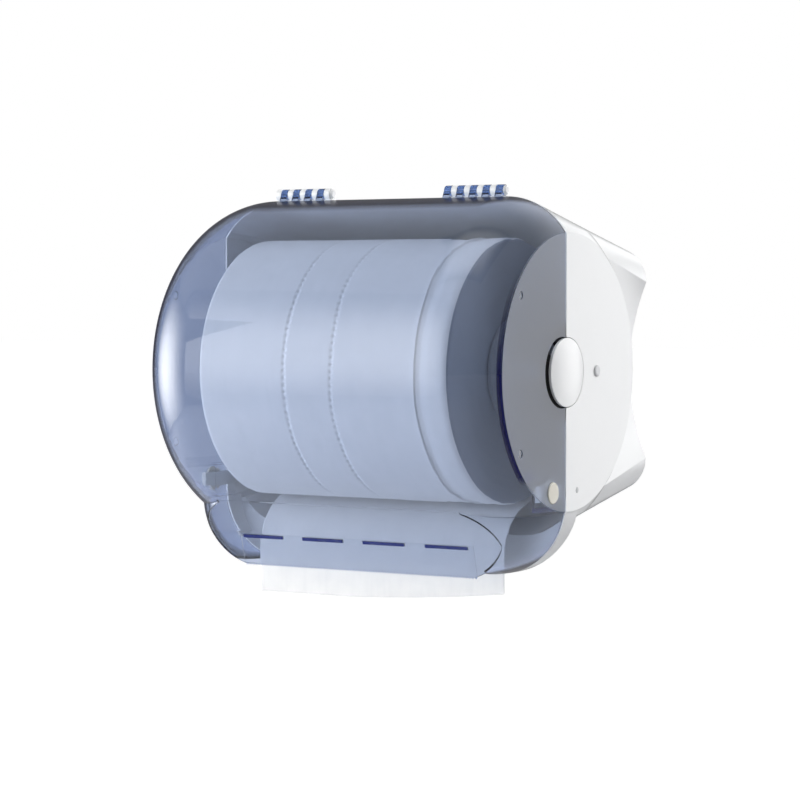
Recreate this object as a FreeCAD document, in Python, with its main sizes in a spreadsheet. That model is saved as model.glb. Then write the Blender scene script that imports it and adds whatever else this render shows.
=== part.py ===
import FreeCAD, Part
import math
import os
import Sketcher

# Wall-mounted roll dispenser.  X runs along the roll, Y points into the wall, Z is up.
# The origin is the middle of the wall face, level with the roll's axis.

doc = FreeCAD.newDocument("roll_dispenser")
Vector = FreeCAD.Vector
AXIS_X = Vector(1, 0, 0)
AXIS_Y = Vector(0, 1, 0)

# ---------------------------------------------------------------- driving dimensions, in mm

DRIVING = [
    # the whole dispenser
    ("width", 384.0),
    ("seam_depth", 175.0),
    ("seam_gap", 1.6),
    ("cover_skin", 2.6),
    ("housing_skin", 3.0),
    # the drum both shells follow
    ("drum_radius", 163.5),
    ("drum_depth", 166.0),
    ("shoulder_radius", 75.0),
    ("cheek_radius", 129.0),
    ("pad_radius", 150.0),
    ("pad_rise", 8.0),
    # the chin and the lip under the drum
    ("chin_radius", 72.0),
    ("chin_bottom", 190.0),
    ("lip_bottom", 188.0),
    ("lip_fold_depth", 240.0),
    ("lip_fold_drop", 159.0),
    ("lip_slope", 15.0),
    ("fold_radius", 12.0),
    ("leave_angle", 50.0),
    ("scoop_overrun", 19.0),
    ("chin_corner_across", 77.0),
    ("chin_corner_along", 97.0),
    ("chin_corner_share", 0.97),
    ("chin_overlap", 14.0),
    ("mouth_width", 277.0),
    ("chin_depth", 25.0),
    ("chin_lean", 8.3),
    # the moulding dimples on the cheeks
    ("dimple_radius", 3.8),
    ("dimple_depth", 0.7),
    ("dimple_forward", 95.0),
    ("dimple_height", 71.0),
    # the wall plate
    ("plate_width", 376.0),
    ("plate_top", 117.0),
    ("plate_bottom", 121.0),
    ("plate_corner", 33.0),
    ("plate_waist", 18.0),
    ("seam_bow", 0.01),
    ("screw_span_x", 260.0),
    ("screw_span_z", 130.0),
    ("screw_hole_radius", 2.75),
    # the two hinges
    ("hinge_depth", 172.0),
    ("hinge_height", 169.2),
    ("knuckle_radius", 5.4),
    ("hinge_inner", 62.6),
    ("hinge_outer", 129.0),
    ("cover_knuckle", 7.6),
    ("housing_knuckle", 6.4),
    ("knuckle_pairs", 4.0),
    ("knuckle_play", 0.2),
    ("hinge_tab_root", 2.5),
    ("hinge_tab_rise", 1.5),
    ("hinge_tab_reach", 8.6),
    ("pin_radius", 2.0),
    ("pin_head", 2.2),
    ("running_gap", 0.05),
    # the roll and what carries it
    ("roll_depth", 172.0),
    ("roll_radius", 125.0),
    ("roll_length", 274.0),
    ("core_radius", 38.0),
    ("core_wall", 3.0),
    ("spindle_radius", 6.0),
    ("journal_radius", 8.0),
    ("hub_flange_radius", 52.0),
    ("hub_flange_thickness", 3.0),
    ("hub_play", 0.3),
    ("hub_lead_in", 0.9),
    ("hub_inset", 2.6),
    ("hub_plug_length", 32.0),
    ("knob_radius", 32.0),
    ("knob_proud", 2.6),
    ("knob_play", 0.6),
    ("knob_sink", 2.4),
    ("spindle_proud", 0.4),
    ("bracket_radius", 45.0),
    ("bracket_thickness", 4.0),
    ("bracket_arm", 28.0),
    ("bracket_screw_reach", 58.8),
    ("bracket_screw_radius", 2.5),
    ("bracket_screw_head", 5.5),
    ("bracket_screw_rise", 1.6),
    ("bracket_screw_tail", 2.0),
    ("cheek_cutout_radius", 33.0),
    ("cheek_cutout_reach", 40.0),
    # the two release latches
    ("button_radius", 10.0),
    ("button_depth", 200.0),
    ("button_drop", 110.0),
    ("button_proud", 1.2),
    ("button_travel", 4.0),
    ("button_flange", 2.0),
    ("button_flange_thickness", 2.2),
    ("button_chamfer", 0.6),
    ("latch_play", 0.4),
    ("catch_reach", 217.0),
    ("hook_height", 2.4),
    ("hook_length", 3.5),
    ("hook_clearance", 0.8),
    ("tongue_width", 14.0),
    ("tongue_thickness", 2.5),
    ("tongue_tail", 10.0),
    ("rivet_depth", 152.2),
    ("rivet_radius", 2.8),
    ("rivet_head", 1.5),
    ("rivet_chamfer", 0.8),
    ("rivet_proud", 0.3),
    ("rail_thickness", 2.5),
    ("guide_front_margin", 1.0),
    ("guide_rear_margin", 5.0),
    ("guide_over", 6.5),
    ("guide_under", 7.0),
    ("guide_behind", 2.0),
    ("guide_foot", 6.0),
    ("flange_reach", 34.0),
    ("flange_over", 5.5),
    ("flange_under", 3.5),
    # the tear bar and the loose end of the web
    ("tab_length", 45.0),
    ("tab_pitch", 68.0),
    ("tab_height", 3.0),
    ("tab_drop", 0.4),
    ("tab_proud", 0.8),
    ("bar_width", 259.0),
    ("bar_thickness", 1.6),
    ("tooth_pitch", 3.4),
    ("tooth_height", 2.8),
    ("web_thickness", 0.8),
    ("tail_width", 273.0),
    ("tail_depth", 193.0),
    ("tail_bottom", 219.0),
    ("tail_leave_angle", 20.0),
    ("tail_slack_radius", 50.0),
]

dims = doc.addObject("Spreadsheet::Sheet", "dims")
for row, (alias, value) in enumerate(DRIVING, start=1):
    dims.set("A%d" % row, alias)
    dims.set("B%d" % row, "%g" % value)
    dims.setAlias("B%d" % row, alias)
doc.recompute()


def dim(alias):
    """A driving dimension as a number."""
    return float(dims.get(alias))


# One scratch object turns an expression into the number it stands for.
probe = doc.addObject("App::FeaturePython", "probe")
probe.addProperty("App::PropertyFloat", "value")


def number(expression):
    """The number an expression of driving dimensions stands for now."""
    probe.setExpression("value", expression)
    probe.recompute()
    return probe.value


subparts = []


def keep(feature, label):
    """Name a finished sub-part and put it on the list of what is written."""
    feature.Label = label
    subparts.append(feature)
    return feature


# ---------------------------------------------------------------- small building helpers

def origin_plane(body, role):
    """One of a body's own origin planes."""
    return next(plane for plane in body.Origin.OriginFeatures if plane.Role == role)


def polygon_sketch(body, name, role, corners):
    """A closed sketch of straight lines whose corners follow (u, v) expressions."""
    sketch = body.newObject("Sketcher::SketchObject", name)
    sketch.AttachmentSupport = [(origin_plane(body, role), "")]
    sketch.MapMode = "FlatFace"
    points = [Vector(number(u), number(v), 0) for u, v in corners]
    count = len(points)
    for i in range(count):
        sketch.addGeometry(Part.LineSegment(points[i], points[(i + 1) % count]), False)
    for i in range(count):
        sketch.addConstraint(Sketcher.Constraint("Coincident", i, 2, (i + 1) % count, 1))
    for i, (u, v) in enumerate(corners):
        for kind, expression, value in (("DistanceX", u, points[i].x), ("DistanceY", v, points[i].y)):
            at = sketch.addConstraint(Sketcher.Constraint(kind, -1, 1, i, 1, value))
            sketch.setExpression("Constraints[%d]" % at, expression)
    doc.recompute()
    return sketch


def place(feature, x="0", y="0", z="0"):
    """Tie a feature's position to expressions."""
    feature.setExpression("Placement.Base.x", x)
    feature.setExpression("Placement.Base.y", y)
    feature.setExpression("Placement.Base.z", z)


def turned_body(name, corners):
    """A body turned about the roll's axis from (along, radius) corners."""
    body = doc.addObject("PartDesign::Body", name)
    sketch = polygon_sketch(body, name + "_profile", "XY_Plane", corners)
    turning = body.newObject("PartDesign::Revolution", name + "_turning")
    turning.Profile = sketch
    turning.ReferenceAxis = (sketch, ["H_Axis"])
    turning.Angle = 360
    doc.recompute()
    return body


def box(name, low, high):
    """A box between two corners, each given as three expressions."""
    block = doc.addObject("Part::Box", name)
    for side, start, end in zip(("Length", "Width", "Height"), low, high):
        block.setExpression(side, "(%s) - (%s)" % (end, start))
    place(block, *low)
    return block


def rod(name, radius, start, end, y, z):
    """A cylinder along X between two expressions."""
    bar = doc.addObject("Part::Cylinder", name)
    bar.setExpression("Radius", radius)
    bar.setExpression("Height", "(%s) - (%s)" % (end, start))
    bar.Placement = FreeCAD.Placement(Vector(), FreeCAD.Rotation(AXIS_Y, 90))
    place(bar, start, y, z)
    return bar


def joined(name, pieces):
    fusion = doc.addObject("Part::MultiFuse", name)
    fusion.Shapes = pieces
    return fusion


def cut(name, base, tool):
    result = doc.addObject("Part::Cut", name)
    result.Base = base
    result.Tool = tool
    return result


def mirrored(name, source):
    """The left-hand twin of a right-hand piece."""
    twin = doc.addObject("Part::Mirroring", name)
    twin.Source = source
    twin.Normal = AXIS_X
    return twin


def made(name, shape):
    """A sub-part whose shape the functions below work out from the sheet."""
    feature = doc.addObject("Part::Feature", name)
    feature.Shape = shape
    return feature


# ---------------------------------------------------------------- outlines both shells share

HALF = dim("width") / 2
DRUM_Y = -dim("drum_depth")
SEAM_Y = -dim("seam_depth")
FRONT_EDGE = SEAM_Y - dim("seam_gap") / 2
REAR_EDGE = SEAM_Y + dim("seam_gap") / 2
SHOULDER_CENTRE = dim("drum_radius") - dim("shoulder_radius")
SHOULDER_RISE = dim("cheek_radius") - SHOULDER_CENTRE
SHOULDER_START = HALF - math.sqrt(dim("shoulder_radius") ** 2 - SHOULDER_RISE ** 2)
CHIN_X = HALF - dim("chin_radius")
CHIN_Z = dim("chin_radius") - dim("chin_bottom")
DIAGONAL = math.sqrt(0.5)
FAR = 400.0


def line(a, b):
    return Part.LineSegment(a, b).toShape()


def arc(a, b, c):
    return Part.Arc(a, b, c).toShape()


def loop(points):
    """Straight edges through the points and back to the first."""
    return [line(points[i], points[(i + 1) % len(points)]) for i in range(len(points))]


def extruded(edges, direction):
    return Part.Face(Part.Wire(edges)).extrude(direction)


def shoulder_arc(inset, side, up):
    """Three (along, out) points of the shoulder, from the drum to the crease at the cheek."""
    radius = dim("shoulder_radius") - inset
    full = math.asin((HALF - inset - SHOULDER_START) / radius)
    points = []
    for angle in (0, full / 2, full):
        along = SHOULDER_START + radius * math.sin(angle)
        out = SHOULDER_CENTRE + radius * math.cos(angle)
        points.append((side * along, up * out))
    return points


def drum(inset):
    """The solid drum with its rounded shoulders and flat cheeks."""
    left = [Vector(x, DRUM_Y + r, 0) for x, r in shoulder_arc(inset, -1, 1)]
    right = [Vector(x, DRUM_Y + r, 0) for x, r in shoulder_arc(inset, 1, 1)]
    foot_left = Vector(left[2].x, DRUM_Y, 0)
    foot_right = Vector(right[2].x, DRUM_Y, 0)
    edges = [
        line(foot_left, left[2]),
        arc(left[2], left[1], left[0]),
        line(left[0], right[0]),
        arc(right[0], right[1], right[2]),
        line(right[2], foot_right),
        line(foot_right, foot_left),
    ]
    return Part.Face(Part.Wire(edges)).revolve(Vector(0, DRUM_Y, 0), AXIS_X, 360)


def chin_front(inset, start_y, end_y):
    """The chin's front outline with its round lower corners, drawn out between two depths."""
    side = HALF - inset
    radius = dim("chin_radius") - inset
    across = CHIN_X + radius * DIAGONAL
    down = CHIN_Z - radius * DIAGONAL
    edges = [
        line(Vector(-side, start_y, 0), Vector(-side, start_y, CHIN_Z)),
        arc(
            Vector(-side, start_y, CHIN_Z),
            Vector(-across, start_y, down),
            Vector(-CHIN_X, start_y, CHIN_Z - radius),
        ),
        line(Vector(-CHIN_X, start_y, CHIN_Z - radius), Vector(CHIN_X, start_y, CHIN_Z - radius)),
        arc(
            Vector(CHIN_X, start_y, CHIN_Z - radius),
            Vector(across, start_y, down),
            Vector(side, start_y, CHIN_Z),
        ),
        line(Vector(side, start_y, CHIN_Z), Vector(side, start_y, 0)),
        line(Vector(side, start_y, 0), Vector(-side, start_y, 0)),
    ]
    return extruded(edges, Vector(0, end_y - start_y, 0))


def block(low, high):
    """A plain box shape between two corners."""
    return Part.makeBox(high[0] - low[0], high[1] - low[1], high[2] - low[2], Vector(*low))


def bar_along_x(radius, start, end, y, z):
    """A plain cylinder shape along X."""
    return Part.makeCylinder(radius, end - start, Vector(start, y, z), AXIS_X)


# ---------------------------------------------------------------- hinge knuckles

def knuckles():
    """(start, end, moulded on the cover) of every knuckle: leftmost is white, rightmost is blue."""
    blue = dim("cover_knuckle")
    white = dim("housing_knuckle")
    play = dim("knuckle_play")
    pairs = int(dim("knuckle_pairs"))
    found = []
    for i in range(pairs + 1):
        start = (blue + white) * i - dim("hinge_outer")
        found.append((start + play, start + white - play, False))
        if i < pairs:
            found.append((start + white + play, start + white + blue - play, True))
        start = (blue + white) * i + dim("hinge_inner")
        found.append((start + play, start + blue - play, True))
        if i < pairs:
            found.append((start + blue + play, start + blue + white - play, False))
    return found


def hinge_row(on_cover):
    """The knuckles of one shell, each on its own tab reaching down to the skin."""
    y = -dim("hinge_depth")
    z = dim("hinge_height")
    radius = dim("knuckle_radius")
    facing = -1 if on_cover else 1
    edge = FRONT_EDGE if on_cover else REAR_EDGE
    top = dim("drum_radius")
    root = top - dim("hinge_tab_root")
    crest = top + dim("hinge_tab_rise")
    reach = facing * dim("hinge_tab_reach")
    shapes = []
    for start, end, cover_side in knuckles():
        if cover_side != on_cover:
            continue
        tab = [
            Vector(start, edge, root),
            Vector(start, edge, crest),
            Vector(start, y, crest),
            Vector(start, y, z + radius * DIAGONAL),
            Vector(start, y + facing * radius * DIAGONAL, z + radius * DIAGONAL),
            Vector(start, y + reach, (root + crest) / 2),
            Vector(start, y + reach, root),
        ]
        shapes.append(extruded(loop(tab), Vector(end - start, 0, 0)))
        shapes.append(bar_along_x(radius, start, end, y, z))
    return shapes


def hinge_bore():
    """The drilling both hinge pins run in."""
    radius = dim("pin_radius") + dim("running_gap")
    length = dim("hinge_outer") + dim("pin_head")
    return bar_along_x(radius, -length, length, -dim("hinge_depth"), dim("hinge_height"))


# ---------------------------------------------------------------- front cover

def lip_frame():
    """The lip's fold line, the way down the lip and the way up the scoop above it."""
    leave = math.radians(dim("leave_angle"))
    lean = math.radians(dim("lip_slope"))
    radius = dim("drum_radius")
    fold = Vector(0, -dim("lip_fold_depth"), -dim("lip_fold_drop"))
    leaving = Vector(0, DRUM_Y - radius * math.cos(leave), -radius * math.sin(leave))
    down = Vector(0, math.sin(lean), -math.cos(lean))
    return fold, down, leaving - fold


def lip_profile(inset):
    """The side profile of scoop and lip, drawn right across and on past the seam."""
    fold, down, scoop = lip_frame()
    up = Vector(scoop).normalize()
    # the fold moves along the bisector so that both faces move in by the same skin
    lip_normal = Vector(0, -down.z, down.y)
    scoop_normal = Vector(0, up.z, -up.y)
    bisector = (lip_normal + scoop_normal).normalize()
    inner_fold = fold + bisector * (inset / bisector.dot(lip_normal))
    # the fold itself is rounded, the same curve on both faces
    radius = dim("fold_radius") + inset
    half_turn = (up * -1).getAngle(down) / 2
    reach = radius * math.tan(half_turn)
    deepest = inner_fold - bisector * (radius / math.cos(half_turn) - radius)
    side = Vector(inset - HALF, 0, 0)
    top = side + inner_fold + up * (scoop.Length + dim("scoop_overrun"))
    before = side + inner_fold + up * reach
    after = side + inner_fold + down * reach
    foot = side + inner_fold + down * dim("lip_bottom")
    under = side + Vector(0, 0, foot.z)
    inside = side + Vector(0, 0, CHIN_Z / 2)
    edges = [
        line(top, before), arc(before, side + deepest, after), line(after, foot),
        line(foot, under), line(under, inside), line(inside, top),
    ]
    return extruded(edges, side * -2)


def cover_chin(inset):
    """The chin in front of the seam: the side profile held inside its rounded ends."""
    return lip_profile(inset).common(chin_ends(inset)).removeSplitter()


def chin_ends(inset):
    """The chin's front outline from the seam forwards, its corners rounding in like an ellipse."""
    stations = 7
    rings = []
    for i in range(stations):
        forward = dim("chin_corner_share") * i / (stations - 1)
        narrowing = math.sqrt(1 - forward ** 2)
        y = SEAM_Y - forward * (dim("chin_corner_along") - inset)
        across = dim("chin_corner_across") - inset
        edge = HALF - inset - across * (1 - narrowing)
        radius = dim("chin_radius") - inset
        low = CHIN_Z - radius
        # the corner is an arc over its own chord, flatter the further forward it is
        chord = Vector(edge - CHIN_X, 0, CHIN_Z - low)
        bulge = radius * (1 - DIAGONAL) * narrowing
        outwards = Vector(chord.z, 0, -chord.x).normalize() * bulge
        middle = Vector((edge + CHIN_X) / 2, y, (CHIN_Z + low) / 2) + outwards
        rings.append(Part.Wire([
            line(Vector(-edge, y, 0), Vector(-edge, y, CHIN_Z)),
            arc(Vector(-edge, y, CHIN_Z), Vector(-middle.x, y, middle.z), Vector(-CHIN_X, y, low)),
            line(Vector(-CHIN_X, y, low), Vector(CHIN_X, y, low)),
            arc(Vector(CHIN_X, y, low), middle, Vector(edge, y, CHIN_Z)),
            line(Vector(edge, y, CHIN_Z), Vector(edge, y, 0)),
            line(Vector(edge, y, 0), Vector(-edge, y, 0)),
        ]))
    # the foremost outline carries straight on, well into the drum
    nose = Part.Face(rings[-1]).extrude(Vector(0, -dim("chin_overlap"), 0))
    return Part.makeLoft(rings, True).fuse(nose)


def mouth_opening():
    """The mouth cut through the chin's floor, from just inside the lip's face back past the seam."""
    fold, down, _ = lip_frame()
    lip_normal = Vector(0, -down.z, down.y)
    left = -dim("mouth_width") / 2
    face = Vector(left, 0, 0) + fold + lip_normal * (dim("cover_skin") - 2 * dim("running_gap"))
    upper = face + down * ((CHIN_Z - face.z) / down.z)
    lower = face + down * ((-FAR - face.z) / down.z)
    edges = loop([upper, lower, Vector(left, 0, -FAR), Vector(left, 0, CHIN_Z)])
    return extruded(edges, Vector(dim("mouth_width"), 0, 0))


def tab_centres():
    """Positions along X of the tear bar's four tabs."""
    return [dim("tab_pitch") * (i - 1.5) for i in range(4)]


def lip_placement():
    """Takes a shape drawn flat, Y up the lip and Z out of it, to its place on the lip."""
    fold = lip_frame()[0]
    return FreeCAD.Placement(fold, FreeCAD.Rotation(AXIS_X, 90 + dim("lip_slope")))


def lip_slots():
    """The four slots under the fold that take the tear bar's tabs."""
    play = dim("knuckle_play")
    shapes = []
    for centre in tab_centres():
        half = dim("tab_length") / 2 + play
        low = (centre - half, -dim("tab_drop") - dim("tab_height") - play, -2 * dim("cover_skin"))
        high = (centre + half, -dim("tab_drop") + play, dim("cover_skin"))
        slot = block(low, high)
        slot.Placement = lip_placement().multiply(slot.Placement)
        shapes.append(slot)
    return shapes


def cheek_dimples():
    """Two shallow round dimples in the outside of each cheek."""
    depth = dim("dimple_depth")
    shapes = []
    for z in (-dim("dimple_height"), dim("dimple_height")):
        y = DRUM_Y - dim("dimple_forward")
        shapes.append(bar_along_x(dim("dimple_radius"), HALF - depth, FAR, y, z))
        shapes.append(bar_along_x(dim("dimple_radius"), -FAR, depth - HALF, y, z))
    return shapes


def front_cover():
    """The see-through front shell: half drum, chin, lip, cut-outs, dimples, catch ribs and knuckles."""
    skin = dim("cover_skin")
    outer = drum(0).fuse(cover_chin(0))
    inner = drum(skin).fuse([cover_chin(skin), mouth_opening()])
    shell = outer.cut(inner)
    shell = shell.common(block((-FAR, -FAR, -dim("lip_bottom")), (FAR, FRONT_EDGE, FAR)))
    shell = shell.multiFuse(hinge_row(True) + catch_ribs())
    radius = dim("cheek_cutout_radius")
    cutout_y = radius - dim("cheek_cutout_reach") + SEAM_Y
    holes = [hinge_bore(), bar_along_x(radius, -FAR, FAR, cutout_y, 0)]
    hole = dim("button_radius") + dim("knuckle_play")
    holes.append(bar_along_x(hole, -FAR, FAR, -dim("button_depth"), -dim("button_drop")))
    return shell.cut(Part.makeCompound(holes + lip_slots() + cheek_dimples()))


def catch_ribs():
    """A rib inside each cheek that the latch tongue's hook holds."""
    inside = HALF - dim("cover_skin")
    reach = dim("catch_reach")
    low = (inside - dim("hook_height"), -reach, -dim("button_drop") - dim("tongue_width") / 2)
    high = (inside + 1, -reach + dim("rail_thickness"), low[2] + dim("tongue_width"))
    right = block(low, high)
    return [right, right.mirror(Vector(), AXIS_X)]


# ---------------------------------------------------------------- rear housing

def tapered_back(inset):
    """From the seam's outline back to the waisted wall plate, as one straight-sided loft."""
    top_right = shoulder_arc(inset, 1, 1)
    bottom_right = shoulder_arc(inset, 1, -1)
    corner = dim("plate_corner") - inset
    half_x = dim("plate_width") / 2 - inset
    top = dim("plate_top") - inset
    low = dim("plate_bottom") - inset
    waist = half_x - dim("plate_waist")
    plate_y = -inset

    def ring(upper, lower, waist_x, y):
        """Eight edges round from the top, each corner given by its three points."""
        (ax, az), (bx, bz), (cx, cz) = upper
        (dx, dz), (ex, ez), (gx, gz) = lower
        return Part.Wire([
            line(Vector(-ax, y, az), Vector(ax, y, az)),
            arc(Vector(ax, y, az), Vector(bx, y, bz), Vector(cx, y, cz)),
            arc(Vector(cx, y, cz), Vector(waist_x, y, (cz + gz) / 2), Vector(gx, y, gz)),
            arc(Vector(gx, y, gz), Vector(ex, y, ez), Vector(dx, y, dz)),
            line(Vector(dx, y, dz), Vector(-dx, y, dz)),
            arc(Vector(-dx, y, dz), Vector(-ex, y, ez), Vector(-gx, y, gz)),
            arc(Vector(-gx, y, gz), Vector(-waist_x, y, (cz + gz) / 2), Vector(-cx, y, cz)),
            arc(Vector(-cx, y, cz), Vector(-bx, y, bz), Vector(-ax, y, az)),
        ])

    def plate_quarter(height, up):
        """The three points of one of the plate's round corners."""
        middle_x = half_x - corner
        middle_z = height - corner
        return [
            (middle_x, up * height),
            (middle_x + corner * DIAGONAL, up * (middle_z + corner * DIAGONAL)),
            (half_x, up * middle_z),
        ]

    # the seam outline's sides bow in by a hair so that both rings have the same kinds of edge
    seam_ring = ring(top_right, bottom_right, top_right[2][0] - dim("seam_bow"), SEAM_Y)
    plate_ring = ring(plate_quarter(top, 1), plate_quarter(low, -1), waist, plate_y)
    return Part.makeLoft([seam_ring, plate_ring], True, True)


def cheek_pads(inset):
    """The drum's round cheeks carried back over the tapered part, trimmed to its slopes."""
    disc = bar_along_x(dim("pad_radius") - inset, -FAR, FAR, DRUM_Y, 0)
    top = dim("cheek_radius") + dim("pad_rise") - inset
    profile = [
        Vector(-FAR, SEAM_Y, top),
        Vector(-FAR, -inset, dim("plate_top") - inset),
        Vector(-FAR, -inset, inset - dim("plate_bottom")),
        Vector(-FAR, SEAM_Y, -top),
    ]
    wedge = extruded(loop(profile), Vector(2 * FAR, 0, 0))
    return drum(inset).common(wedge).common(disc)


def housing_chin(inset):
    """The chin behind the seam, leaning forward towards its bottom edge."""
    back = SEAM_Y + dim("chin_depth") - inset
    lean = dim("chin_lean")
    start = inset - HALF
    profile = [
        Vector(start, SEAM_Y, CHIN_Z / 2),
        Vector(start, back, CHIN_Z / 2),
        Vector(start, back, CHIN_Z - dim("chin_depth")),
        Vector(start, back - lean, -dim("chin_bottom")),
        Vector(start, SEAM_Y, -dim("chin_bottom")),
    ]
    side = extruded(loop(profile), Vector(-2 * start, 0, 0))
    return side.common(chin_front(inset, SEAM_Y - 1, back + 1))


def rear_housing():
    """The white wall housing with its chin, knuckles, knob notches and screw holes."""
    skin = dim("housing_skin")
    outer = tapered_back(0).fuse([cheek_pads(0), housing_chin(0)])
    inner = tapered_back(skin).fuse([cheek_pads(skin), housing_chin(skin)])
    inner = inner.common(block((-FAR, -FAR, -FAR), (FAR, -skin, FAR)))
    shell = outer.cut(inner).common(block((-FAR, REAR_EDGE, -FAR), (FAR, 0, FAR)))
    shell = shell.multiFuse(hinge_row(False))
    knob_hole = dim("knob_radius") + dim("knob_play")
    screw_y = -dim("roll_depth") + dim("bracket_screw_reach")
    play = dim("running_gap")
    holes = [
        hinge_bore(),
        bar_along_x(knob_hole, -FAR, FAR, -dim("roll_depth"), 0),
        bar_along_x(dim("bracket_screw_radius") + play, -FAR, FAR, screw_y, 0),
        bar_along_x(dim("rivet_radius") + play, -FAR, FAR, -dim("rivet_depth"), -dim("button_drop")),
    ]
    for x in (-dim("screw_span_x") / 2, dim("screw_span_x") / 2):
        for z in (-dim("screw_span_z") / 2, dim("screw_span_z") / 2):
            holes.append(Part.makeCylinder(
                dim("screw_hole_radius"), 3 * skin, Vector(x, -2 * skin, z), AXIS_Y))
    return shell.cut(Part.makeCompound(holes))


# ---------------------------------------------------------------- tear bar and loose web

def tear_bar():
    """The toothed strip behind the lip, with four tabs through the cover's slots."""
    half = dim("bar_width") / 2
    lip_length = (dim("lip_bottom") - dim("lip_fold_drop")) / math.cos(math.radians(dim("lip_slope")))
    teeth = int(2 * half / dim("tooth_pitch"))
    pitch = 2 * half / teeth
    points = [Vector(half, 0, 0), Vector(-half, 0, 0), Vector(-half, -lip_length, 0)]
    for i in range(teeth):
        left = -half + i * pitch
        points.append(Vector(left + pitch / 2, -lip_length - dim("tooth_height"), 0))
        points.append(Vector(left + pitch, -lip_length, 0))
    strip = extruded(loop(points), Vector(0, 0, -dim("bar_thickness")))
    gap = dim("running_gap")
    strip.translate(Vector(0, 0, -dim("cover_skin") - gap))
    tabs = []
    for centre in tab_centres():
        back = -dim("cover_skin") - dim("bar_thickness") / 2
        low = (centre - dim("tab_length") / 2, -dim("tab_drop") - dim("tab_height"), back)
        high = (centre + dim("tab_length") / 2, -dim("tab_drop"), dim("tab_proud"))
        tabs.append(block(low, high))
    bar = strip.multiFuse(tabs)
    bar.Placement = lip_placement()
    return bar


def web_tail():
    """The loose end: off the back of the roll, round a slack bend and down out of the mouth."""
    leave = math.radians(dim("tail_leave_angle"))
    slack = dim("tail_slack_radius")
    half = dim("tail_width") / 2
    away = dim("roll_radius") + dim("web_thickness")
    thickness = dim("web_thickness")
    start = Vector(-half, -dim("roll_depth") + away * math.sin(leave), -away * math.cos(leave))
    heading = Vector(0, -math.cos(leave), -math.sin(leave))
    below = Vector(0, -heading.z, heading.y)
    bend_width = slack * (1 - math.sin(leave))
    run = (start.y + dim("tail_depth") - bend_width) / math.cos(leave)
    bend_start = start + heading * run
    centre = bend_start + below * slack
    middle = leave + (math.pi / 2 - leave) / 2

    def side(radius):
        """The run, the bend and the drop at one face of the web, as their four key points."""
        shift = below * (slack - radius)
        first = start + shift
        second = bend_start + shift
        turn = Vector(-half, centre.y - radius * math.sin(middle), centre.z + radius * math.cos(middle))
        third = Vector(-half, centre.y - radius, centre.z)
        return first, second, turn, third, Vector(-half, centre.y - radius, -dim("tail_bottom"))

    a = side(slack)
    b = side(slack - thickness)
    edges = [
        line(a[0], a[1]), arc(a[1], a[2], a[3]), line(a[3], a[4]), line(a[4], b[4]),
        line(b[4], b[3]), arc(b[3], b[2], b[1]), line(b[1], b[0]), line(b[0], a[0]),
    ]
    return extruded(edges, Vector(2 * half, 0, 0))


for label, shape in (
    ("front_cover", front_cover()),
    ("rear_housing", rear_housing()),
    ("tear_bar", tear_bar()),
    ("web_tail", web_tail()),
):
    keep(made(label, shape), label)

# ---------------------------------------------------------------- hinge pins

ROW_LENGTH = "(dims.knuckle_pairs * (dims.cover_knuckle + dims.housing_knuckle))"
PIN_ROWS = (
    ("left", "(-dims.hinge_outer)", "(%s + dims.housing_knuckle - dims.hinge_outer)" % ROW_LENGTH),
    ("right", "(dims.hinge_inner)", "(%s + dims.cover_knuckle + dims.hinge_inner)" % ROW_LENGTH),
)
for hand, row_start, row_end in PIN_ROWS:
    pin = turned_body("%s_pin" % hand, [
        (row_start + " + dims.pin_head", "0"),
        (row_start + " + dims.pin_head", "dims.pin_radius"),
        (row_end, "dims.pin_radius"),
        (row_end, "dims.knuckle_radius - dims.pin_head / 3"),
        (row_end + " + dims.pin_head / 2", "dims.knuckle_radius - dims.pin_head / 2"),
        (row_end + " + dims.pin_head", "dims.knuckle_radius - dims.pin_head"),
        (row_end + " + dims.pin_head", "0"),
    ])
    place(pin, "0", "-dims.hinge_depth", "dims.hinge_height")
    keep(pin, "%s_hinge_pin" % hand)

# ---------------------------------------------------------------- roll, core, spindle and hubs

ROLL_Y = "-dims.roll_depth"
ROLL_END = "dims.roll_length / 2"
BRACKET_IN = "(dims.width / 2 - dims.housing_skin - dims.bracket_thickness)"
BRACKET_OUT = "(dims.width / 2 - dims.housing_skin)"
CHEEK = "dims.width / 2"

web = turned_body("web", [
    ("-dims.roll_length / 2", "dims.core_radius"),
    (ROLL_END, "dims.core_radius"),
    (ROLL_END, "dims.roll_radius"),
    ("-dims.roll_length / 2", "dims.roll_radius"),
])
place(web, "0", ROLL_Y)
keep(web, "web_roll")

core = turned_body("tube", [
    ("-dims.roll_length / 2", "dims.core_radius - dims.core_wall"),
    (ROLL_END, "dims.core_radius - dims.core_wall"),
    (ROLL_END, "dims.core_radius"),
    ("-dims.roll_length / 2", "dims.core_radius"),
])
place(core, "0", ROLL_Y)
keep(core, "roll_core")

spindle_end = "(%s + dims.spindle_proud)" % CHEEK
spindle = turned_body("spindle_rod", [
    ("-" + spindle_end, "0"),
    (spindle_end, "0"),
    (spindle_end, "dims.spindle_radius"),
    ("-" + spindle_end, "dims.spindle_radius"),
])
place(spindle, "0", ROLL_Y)
keep(spindle, "spindle")

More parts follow.
